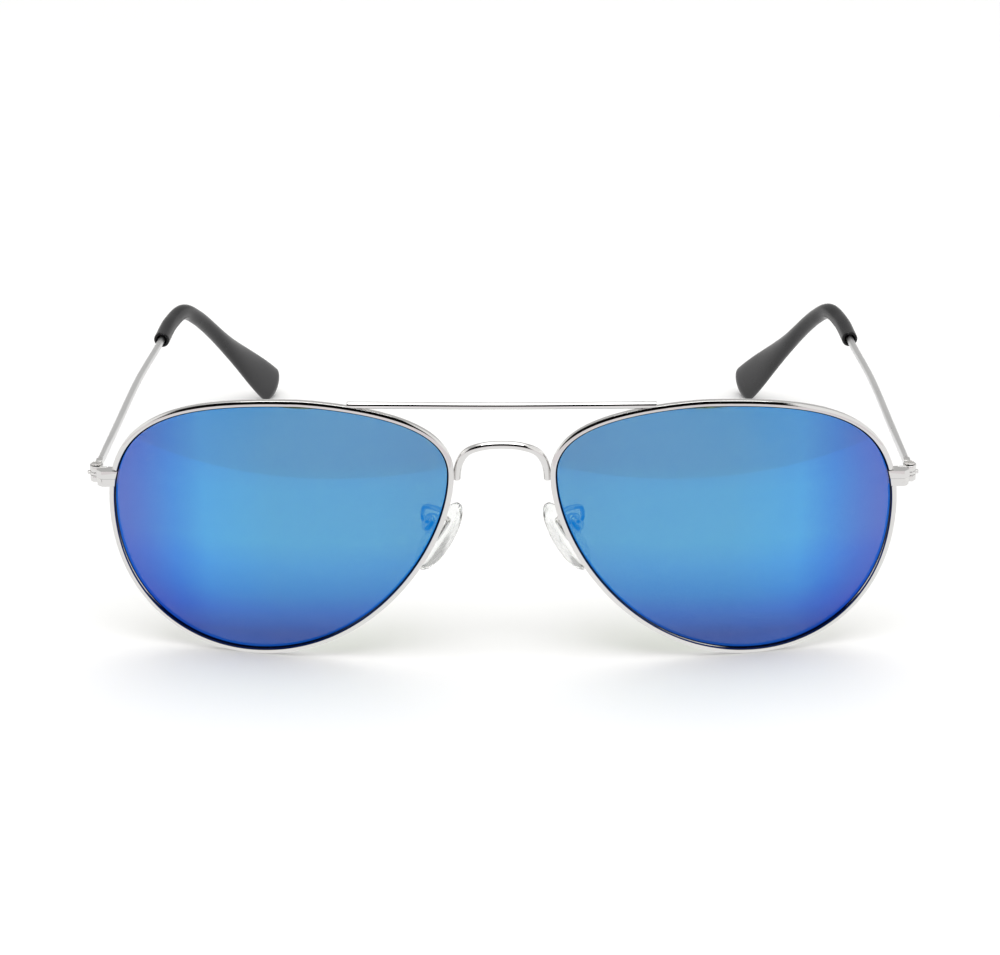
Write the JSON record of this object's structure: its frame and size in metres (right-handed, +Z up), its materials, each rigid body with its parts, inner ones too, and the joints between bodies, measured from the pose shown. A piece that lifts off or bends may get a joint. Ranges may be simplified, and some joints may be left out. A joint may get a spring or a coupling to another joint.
{
  "type": "aviator sunglasses",
  "caption": "Metal aviator sunglasses with a double bridge, blue mirrored teardrop lenses, adjustable nose pads and folding temples with black ear tips.",
  "frame": {"origin": "on the table that the glasses stand on, under the middle of their bounding box", "axes": "+X to the wearer's left, +Y backwards along the temples, +Z up; the lenses face -Y"},
  "size_m": [0.143, 0.1243, 0.0503],
  "materials": {
    "polished_metal": "polished silver plating",
    "temple_metal": "satin silver plating",
    "screw_metal": "plain steel",
    "blue_mirror_lens": "blue mirror coating on a tinted lens",
    "black_plastic": "satin black",
    "clear_silicone": "clear, slightly cloudy"
  },
  "bodies": {
    "front": {"rim_left": "polished_metal", "lens_left": "blue_mirror_lens", "end_piece_left": "polished_metal", "closing_block_left": "polished_metal", "closing_screw_left": "screw_metal", "front_hinge_left": "polished_metal", "hinge_screw_left": "screw_metal", "pad_arm_left": "polished_metal", "pad_box_left": "polished_metal", "pad_screw_left": "screw_metal", "rim_right": "polished_metal", "lens_right": "blue_mirror_lens", "end_piece_right": "polished_metal", "closing_block_right": "polished_metal", "closing_screw_right": "screw_metal", "front_hinge_right": "polished_metal", "hinge_screw_right": "screw_metal", "pad_arm_right": "polished_metal", "pad_box_right": "polished_metal", "pad_screw_right": "screw_metal", "bridge": "polished_metal", "brow_bar": "polished_metal"},
    "temple_left": {"temple_arm_left": "temple_metal", "temple_hinge_left": "polished_metal", "temple_tip_left": "black_plastic"},
    "temple_right": {"temple_arm_right": "temple_metal", "temple_hinge_right": "polished_metal", "temple_tip_right": "black_plastic"},
    "pad_left": {"nose_pad_left": "clear_silicone", "pad_core_left": "screw_metal"},
    "pad_right": {"nose_pad_right": "clear_silicone", "pad_core_right": "screw_metal"}
  },
  "joints": [
    {"name": "temple_left_fold", "type": "hinge", "parent": "front", "child": "temple_left", "pos_m": [0.0699, -0.0517, 0.03325], "axis": [0, 0, 1], "range_deg": [0, 78]},
    {"name": "temple_right_fold", "type": "hinge", "parent": "front", "child": "temple_right", "pos_m": [-0.0699, -0.0517, 0.03325], "axis": [0, 0, -1], "range_deg": [0, 72]},
    {"name": "pad_left_rock", "type": "hinge", "parent": "front", "child": "pad_left", "pos_m": [0.0125, -0.05305, 0.02416], "axis": [0.4695, 0.8829, 0], "range_deg": [-10, 10]},
    {"name": "pad_right_rock", "type": "hinge", "parent": "front", "child": "pad_right", "pos_m": [-0.0125, -0.05305, 0.02416], "axis": [0.4695, -0.8829, 0], "range_deg": [-10, 10]}
  ]
}
